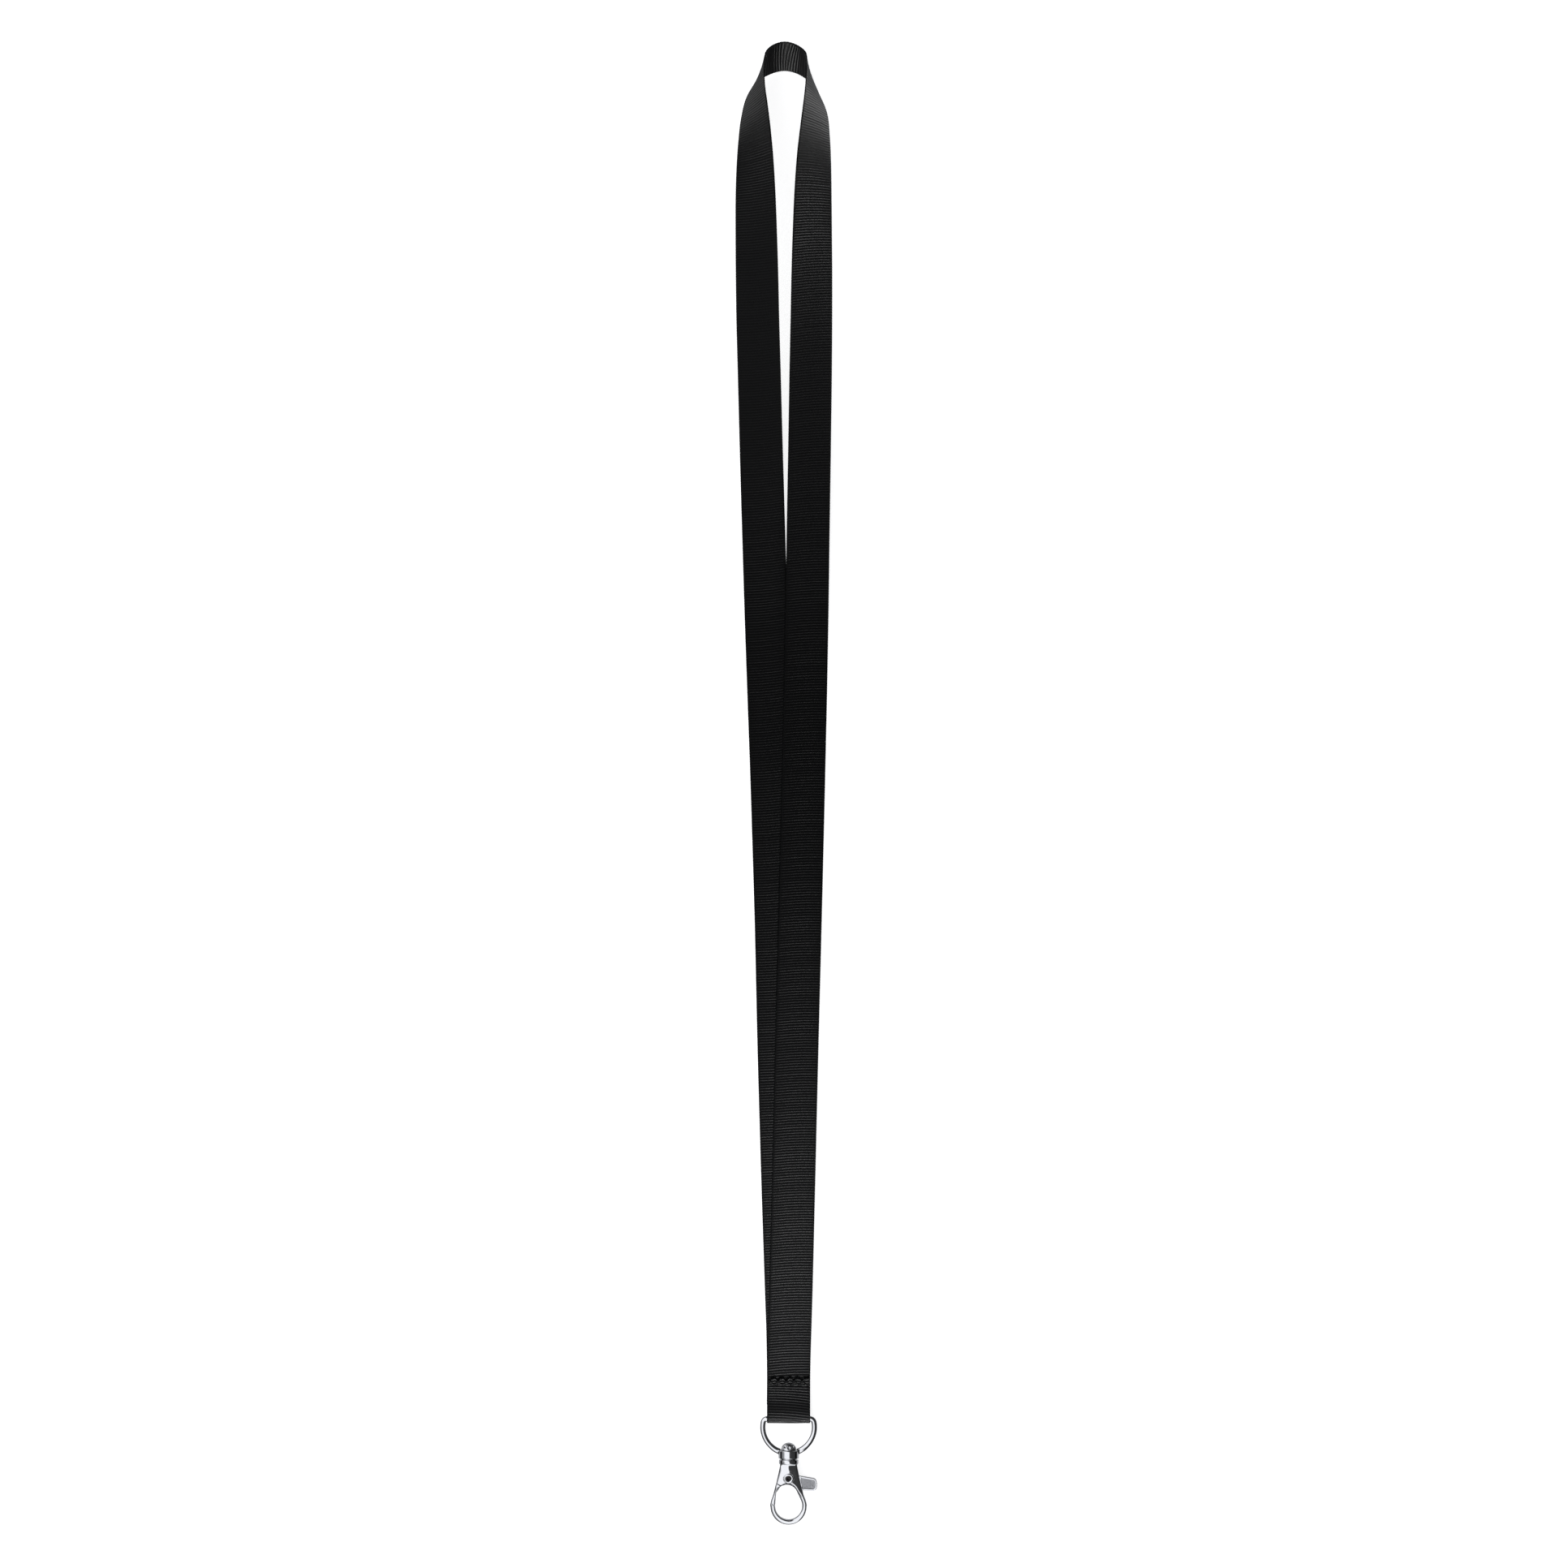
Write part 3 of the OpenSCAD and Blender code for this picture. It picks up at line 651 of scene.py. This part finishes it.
def ribbon_strip(first, last, samples, shares):
    """Points, faces, cloth places and rib heights of the ribbon from one rib to another.

    Each row of points goes round the ribbon: across its front by shares of half its width, over
    one edge, back across its back and over the other edge.
    """
    phase = np.linspace(first, last, (last - first) * samples + 1)
    rib = np.sin(np.pi * (phase % 1)) ** RIB_ROUND
    s0 = phase * RIB_PITCH
    loose = np.clip(np.minimum(s0, route.length - s0) / SHIFT_FADE, 0, 1)
    s0 = s0 + np.interp(phase, RIBS, rib_shift) * loose
    tall = np.interp(phase, RIBS, rib_height)
    fade = smooth_step(s0 / END_FADE) * smooth_step((route.length - s0) / END_FADE)
    torn = smooth_step((s0 - route.length + TORN_LENGTH) / TORN_LENGTH)
    columns = [(share, 1) for share in shares] + [(1.0, 0)]
    columns += [(share, -1) for share in shares[::-1]] + [(-1.0, 0)]
    grid, cloth, crest = [], [], []
    for share, face in columns:
        rise, thick = (np.interp(share, ACROSS[0], ACROSS[k]) for k in (1, 2))
        w = np.full(len(phase), share * RIBBON_W / 2)
        if face == 0:
            rise, w = 0, w * (1 + 0.006 * (rib - 0.6))
        back, curl = torn_end(w)
        s = s0 + (RIB_BOW * (1 - (share * 1.15) ** 2) - w * RIB_SKEW) * fade - back * torn
        s = np.clip(s, 0, route.length)
        n = face * (RIBBON_T / 2 * thick - RIB_DEPTH * rise * tall * (1 - rib))
        p = route.at(s, route.p) + w[:, None] * route.at(s, route.d) + n[:, None] * route.at(s, route.n)
        p[:, 2] += TORN_LIFT * curl * torn**2
        grid.append(p)
        cloth.append(np.stack([w, s, n], 1))
        # Rib heights, which the cloth material turns into painted shade between the ribs and a rougher finish
        # there
        crest.append(np.clip((0.25 + 0.75 * rib) * (0.75 + 0.25 * rise), 0, 1))
    grid, cloth, crest = np.stack(grid, 1), np.stack(cloth, 1), np.stack(crest, 1)
    # The seam pulls in the tail's outer face and the outer face of the layer at the back
    outside, left = cloth[..., 2] < 0, route.length - cloth[..., 1]
    tail = outside & (left < TAIL_LENGTH)
    under = outside & (left > BACK_START) & (left < BACK_END)
    grid[..., 2] -= np.where(tail, pucker(grid, TAIL_PUCKER), 0)
    grid[..., 2] += np.where(under, pucker(grid, BACK_PUCKER), 0)
    rows, count = grid.shape[:2]
    index = np.arange(rows * count).reshape(rows, count)
    a, b = index[:-1], index[1:]
    faces = np.stack([b, np.roll(b, -1, 1), np.roll(a, -1, 1), a], -1).reshape(-1, 4).tolist()
    flat = len(shares)
    for row, way in ((index[0], 1), (index[-1], -1)):
        top, bottom = row[:flat], row[flat + 1:2 * flat + 1][::-1]
        ends = [(top[i], top[i + 1], bottom[i + 1], bottom[i]) for i in range(flat - 1)]
        ends += [(top[-1], row[flat], bottom[-1]), (row[2 * flat + 1], top[0], bottom[0])]
        faces += [f[::way] for f in ends]
    return grid.reshape(-1, 3), faces, cloth.reshape(-1), crest.reshape(-1)


def make_ribbon():
    """The whole ribbon, with a finer mesh over the sewn tail."""
    sewn = RIB_COUNT - TAIL_RIBS
    fine = np.unique(np.concatenate([ACROSS[0], np.linspace(-0.868, 0.868, 39)]))
    strips = [ribbon_strip(0, sewn, 4, ACROSS[0]), ribbon_strip(sewn, RIB_COUNT, 6, fine)]
    obj = new_object("ribbon_woven", *merge([strip[:2] for strip in strips]))
    for number, layer, kind, field in ((2, "cloth", "FLOAT_VECTOR", "vector"), (3, "rib", "FLOAT", "value")):
        values = obj.data.attributes.new(layer, kind, "POINT").data
        values.foreach_set(field, np.concatenate([strip[number] for strip in strips]))
    obj.data.materials.append(CLOTH)
    return obj


PLY_R = 0.0001
STITCH_SINK, STITCH_ARCH = 0.00022, 0.00034  # how deep a stitch's ends go, and how high its middle rises
LINK_SINK = 0.00012  # how much lower the flatter stitches lie


def stitch_row(name, top):
    """Twisted two-ply stitches that slant across the seam and dive into the ribbon at both ends."""
    if top:
        slope, up = TAIL_SLOPE, 1
        level = TAIL_Z + TAIL_SLOPE * (STITCH_S - TAIL_S) + RIBBON_T / 2
    else:
        slope, up = BACK_SLOPE, -1
        level = BACK_Z - RIBBON_T / 2
    upright = np.array([0, 0, 1.0])
    u = np.linspace(0, 1, 23)[:, None]
    arch = np.sin(np.pi * u) ** 0.5
    parts = []
    for i, (x, y) in enumerate(stitch_places()):
        lean = rng.normal(0, 0.00008, 2)
        # The stitch, and the flatter one that goes back from its end to the next one's start
        spans = [(-STITCH_X, STITCH_Y, STITCH_X, -STITCH_Y)]
        if i < STITCH_COUNT - 1:
            spans.append((STITCH_X, -STITCH_Y, STITCH_PITCH - STITCH_X, STITCH_Y))
        for ax, ay, bx, by in spans:
            start = np.array([x + ax + lean[0], y + ay, level - ay * slope])
            end = np.array([x + bx + lean[1], y + by, level - by * slope])
            path = start + (end - start) * u
            path[:, 2:] += up * (-STITCH_SINK + STITCH_ARCH * arch)
            if by > ay:
                path[:, 2:] -= up * LINK_SINK
            side = np.cross(unit(end - start), upright)
            for strand in (0, np.pi):
                turn = strand + u * 7.5
                wind = PLY_R * (np.cos(turn) * side + np.sin(turn) * upright)
                parts.append(tube(path + wind, PLY_R * 1.2, 8))
    obj = new_object(name, *merge(parts))
    obj.data.materials.append(THREAD)
    return obj


def make_fray():
    """Short loose fibres on the ribbon's cut end."""
    parts = []
    end = route.at(np.array([route.length]), route.p)[0]
    reach = RIBBON_W / 2 - 0.0003
    for _ in range(64):
        # Half of them crowd towards the middle
        w = rng.uniform(-1, 1) ** 3 * reach if rng.random() < 0.5 else rng.uniform(-reach, reach)
        length = rng.uniform(0.0002, 0.0008)
        root = end + np.array([w, -0.0002, rng.uniform(-0.0002, 0.0002)])
        way = np.array([rng.normal(0, 0.35), 1.0, rng.normal(0.05, 0.18)])
        curl = np.array([rng.normal(0, 0.5), 0, -0.35])
        u = np.linspace(0, 1, 5)[:, None]
        path = root + way * length * u + curl * length * u * u
        parts.append(tube(path, 0.000032 * (1 - 0.5 * u[:, 0]), 5))
    obj = new_object("ribbon_cut_fibres", *merge(parts))
    obj.data.materials.append(THREAD)
    return obj


ribbon = make_ribbon()
fray = make_fray()
front_thread = stitch_row("seam_thread_front", True)
back_thread = stitch_row("seam_thread_back", False)

# ---- the metal pieces ----
ring, _ = skin("d_ring_cast", ring_field, (-10.4, -14.2, -3.8), (10.4, 1.4, 3.8), 0.15)
ring.data.materials.append(CHROME)
dome, _ = skin("swivel_rivet_peened", dome_field, (-3, -16.9, -3), (3, -8.2, 3), 0.11)
dome.data.materials.append(PEENED)
hook, _ = skin("clasp_body_cast", hook_field, (-7, -37.2, -3.8), (7, -13.7, 3.8), 0.12)
hook.data.materials.append(CHROME)
gate, gate_points = skin("gate_lever_cast", gate_field, (-6.8, -32, -2.6), (10.3, -18, 2.6), 0.13)
gate.data.materials.append(CHROME)
gate.data.materials.append(GRAINED)
rivet, rivet_points = skin("gate_rivet_rolled", rivet_field, (-2.1, -22.8, -3), (2.1, -18.4, 3), 0.09)
rivet.data.materials.append(CHROME)
rivet.data.materials.append(SHADED_BORE)


def second_material(obj, points, chosen):
    """Gives the object's second material to the faces whose middle is chosen."""
    corners = np.array([poly.vertices[:] for poly in obj.data.polygons])
    middle = points[corners].mean(1)
    obj.data.polygons.foreach_set("material_index", chosen(*middle.T).astype(int))


def on_tab_face(x, y, z):
    return (tab_distance(x, -y) < -0.68) & (x > 4.2) & (np.abs(z) > LEVER_HALF + 0.05)


def in_rivet_hollow(x, y, z):
    return np.hypot(x, -y - PIVOT_V) < 0.86


second_material(gate, gate_points, on_tab_face)
# The faces in the rivet's hollow get the darker metal, which paints shade there
second_material(rivet, rivet_points, in_rivet_hollow)


def make_spring():
    """Torsion spring beside the hub: coil round the barrel, one leg on the body, one on the gate."""
    coil_r, low, climb = 1.6, 0.31, 0.29
    turn = np.linspace(0, 1.875, 90)
    angle = math.pi + 2 * math.pi * turn
    coil = np.stack([coil_r * np.cos(angle), coil_r * np.sin(angle), low + climb * turn], 1)
    body_leg = np.linspace([-coil_r, 2.9, low], coil[0], 14)[:-1]
    gate_leg = np.linspace(coil[-1], coil[-1] + [-2.55, -2.55, 0], 14)[1:]
    path = np.vstack([body_leg, coil, gate_leg])
    for _ in range(3):
        path[1:-1] = (path[:-2] + 2 * path[1:-1] + path[2:]) / 4
    obj = new_object("gate_spring_wire", *tube(BAR + (path + [0, -PIVOT_V, 0]) * MM, 0.00013, 12))
    obj.data.materials.append(STEEL)
    return obj


spring = make_spring()

for piece, body, cad, slot in ((ribbon, "strap", "ribbon", "ribbon"), (fray, "strap", None, "thread"),
                               (front_thread, "strap", "needle_thread", "thread"),
                               (back_thread, "strap", "bobbin_thread", "thread"),
                               (ring, "ring", "d_ring", "chrome"), (dome, "clasp", "swivel_rivet", "chrome"),
                               (hook, "clasp", "hook_body", "chrome"), (gate, "gate", "gate_lever", "chrome"),
                               (rivet, "clasp", "gate_rivet", "chrome"),
                               (spring, "clasp", "gate_spring", "spring_steel")):
    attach(piece, body)
    if cad:
        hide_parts(cad)

# ---- floor, light and camera ----
FLOOR_HALF, FLOOR_Z = 4.0, -0.00008  # just clear of the cloth that lies on it
ROOM_HALF = 12.0


def pale_surface(name, grey, glow, rough, specular):
    """A plain pale finish that glows a little, so that it stays even in every view."""
    mat, _, shader = material(name)
    shader.inputs["Base Color"].default_value = (grey, grey, grey, 1)
    shader.inputs["Emission Color"].default_value = (1, 1, 1, 1)
    set_shader(shader, Roughness=rough, Specular_IOR_Level=specular, Emission_Strength=glow)
    return mat


corners = [(-1, -1), (1, -1), (1, 1), (-1, 1)]
floor = new_object("floor", [[x * FLOOR_HALF, y * FLOOR_HALF, FLOOR_Z] for x, y in corners],
                   [[0, 1, 2, 3]], smooth=False)
floor.data.materials.append(pale_surface("pale_floor", 0.9, 0.8, 0.9, 0.1))
# A white room round it, for the views from the side
box = np.array([(x, y, z) for x in (-1, 1) for y in (-1, 1) for z in (-1, 1)])
room = new_object("backdrop", box * ROOM_HALF,
                  [[0, 1, 3, 2], [4, 6, 7, 5], [0, 4, 5, 1], [2, 3, 7, 6], [1, 5, 7, 3], [0, 2, 6, 4]],
                  smooth=False)
room.data.materials.append(pale_surface("pale_wall", 0, 1.1, 1.0, 0.0))
# Neither lights the object, shades it or shows in its metal
for staged in (floor, room):
    staged.visible_diffuse = False
    staged.visible_glossy = False
    staged.visible_shadow = False

# The studio tent: TENT across it, white on the left and overhead and dark towards DARK_WAY; ABOVE,
# which darkens it below the horizon; and a paler ground, HORIZON, all round but at the clasp's end,
# FRONT. Each pair is a place from one side, the bottom or the clasp's end (0) to the opposite (1),
# and how light the tent is there.
DARK_WAY = (0.9, 0.436, 0.0)
TENT = [(0.0, 0.2), (0.1, 0.35), (0.19, 1.15), (0.52, 1.15), (0.58, 0.05), (1.0, 0.035)]
HORIZON = [(0.2, 0.45), (0.36, 0.0)]
ABOVE = [(0.48, 0.0), (0.64, 1.0)]
FRONT = [(0.1, 0.0), (0.25, 1.0)]
# Low lamps that the ribbon's neck end mirrors: the way to each, its width in degrees, its strength
LAMPS = [((-0.13, -0.93, -0.34), 15.4, 3.4), ((0.9, 0.24, -0.36), 33.5, 4.2),
         ((-0.9, 0.24, -0.36), 33.5, 1.6)]


def grey_ramp(tree, source, stops):
    """Colour ramp through greys with a slight blue cast."""
    ramp = node(tree, "ShaderNodeValToRGB", {"Fac": source})
    elements = ramp.color_ramp.elements
    while len(elements) < len(stops):
        elements.new(0.5)
    for element, (place, level) in zip(elements, stops):
        element.position = place
        element.color = (level * 0.98, level * 0.985, level, 1)
    return ramp.outputs[0]


def blend_greys(tree, how, first, second):
    """Two greys blended fully, by a Mix node's blend type."""
    mix = node(tree, "ShaderNodeMix", data_type="RGBA", blend_type=how)
    mix.inputs[0].default_value = 1.0
    tree.links.new(first, mix.inputs[6])
    tree.links.new(second, mix.inputs[7])
    return mix.outputs[2]


world = bpy.data.worlds.new("studio")
world.use_nodes = True
sky = world.node_tree
sky_way = node(sky, "ShaderNodeTexCoord").outputs["Generated"]
side = node(sky, "ShaderNodeVectorMath", {0: sky_way, 1: DARK_WAY}, operation="DOT_PRODUCT").outputs["Value"]
axes = node(sky, "ShaderNodeSeparateXYZ", {0: sky_way}).outputs
side, along, height = (spread(sky, source, 0, 1, -1, 1) for source in (side, axes["Y"], axes["Z"]))
tent = blend_greys(sky, "MULTIPLY", grey_ramp(sky, side, TENT), grey_ramp(sky, height, ABOVE))
pale = blend_greys(sky, "MULTIPLY", grey_ramp(sky, height, HORIZON), grey_ramp(sky, along, FRONT))
sky.links.new(blend_greys(sky, "LIGHTEN", tent, pale), sky.nodes["Background"].inputs[0])
bpy.context.scene.world = world

# The lamps and softboxes light the cloth only; the metal mirrors the tent
lit_cloth = bpy.data.collections.new("lit_cloth")
for piece in (ribbon, front_thread, back_thread, fray):
    lit_cloth.objects.link(piece)


def add_light(name, kind, way, power, axis="-Z"):
    """A light that only the cloth gets, turned so that an axis of it points a given way."""
    data = bpy.data.lights.new(name, kind)
    data.energy = power
    obj = bpy.data.objects.new(name, data)
    bpy.context.scene.collection.objects.link(obj)
    obj.rotation_mode = "QUATERNION"
    obj.rotation_quaternion = Vector(way).to_track_quat(axis, "Y")
    obj.light_linking.receiver_collection = lit_cloth
    return obj


def softbox(name, place, aim, width, height, power, beam):
    """A rectangular light at a place, aimed at a point, with its beam's width in degrees."""
    obj = add_light(name, "AREA", Vector(aim) - Vector(place), power)
    obj.location = place
    obj.visible_camera = False
    obj.data.shape = "RECTANGLE"
    obj.data.size, obj.data.size_y = width, height
    obj.data.spread = math.radians(beam)


for number, (way, width, level) in enumerate(LAMPS):
    lamp = add_light(f"low_lamp_{number}", "SUN", way, level, axis="Z")
    lamp.data.angle = math.radians(width)
softbox("neck_right_box", (0.4, -0.03, 0.2), (0.01, 0.205, 0.015), 0.12, 0.12, 0.22, 34)
softbox("neck_left_box", (-0.42, 0.02, 0.2), (-0.01, 0.215, 0.015), 0.12, 0.12, 0.11, 30)
softbox("clasp_box", (0.08, -0.46, 0.29), (0, -0.2, 0), 0.14, 0.1, 0.6, 50)

camera_data = bpy.data.cameras.new("camera")
camera = bpy.data.objects.new("camera", camera_data)
bpy.context.scene.collection.objects.link(camera)
CAMERA_H = 2.4  # straight above the frame's origin
FRAME_M = 0.545  # what the picture spans on the floor
camera.location = (0, 0, CAMERA_H)
camera_data.sensor_width = 36
camera_data.lens = 36 * CAMERA_H / FRAME_M
bpy.context.scene.camera = camera
bpy.context.scene.view_settings.view_transform = "Standard"
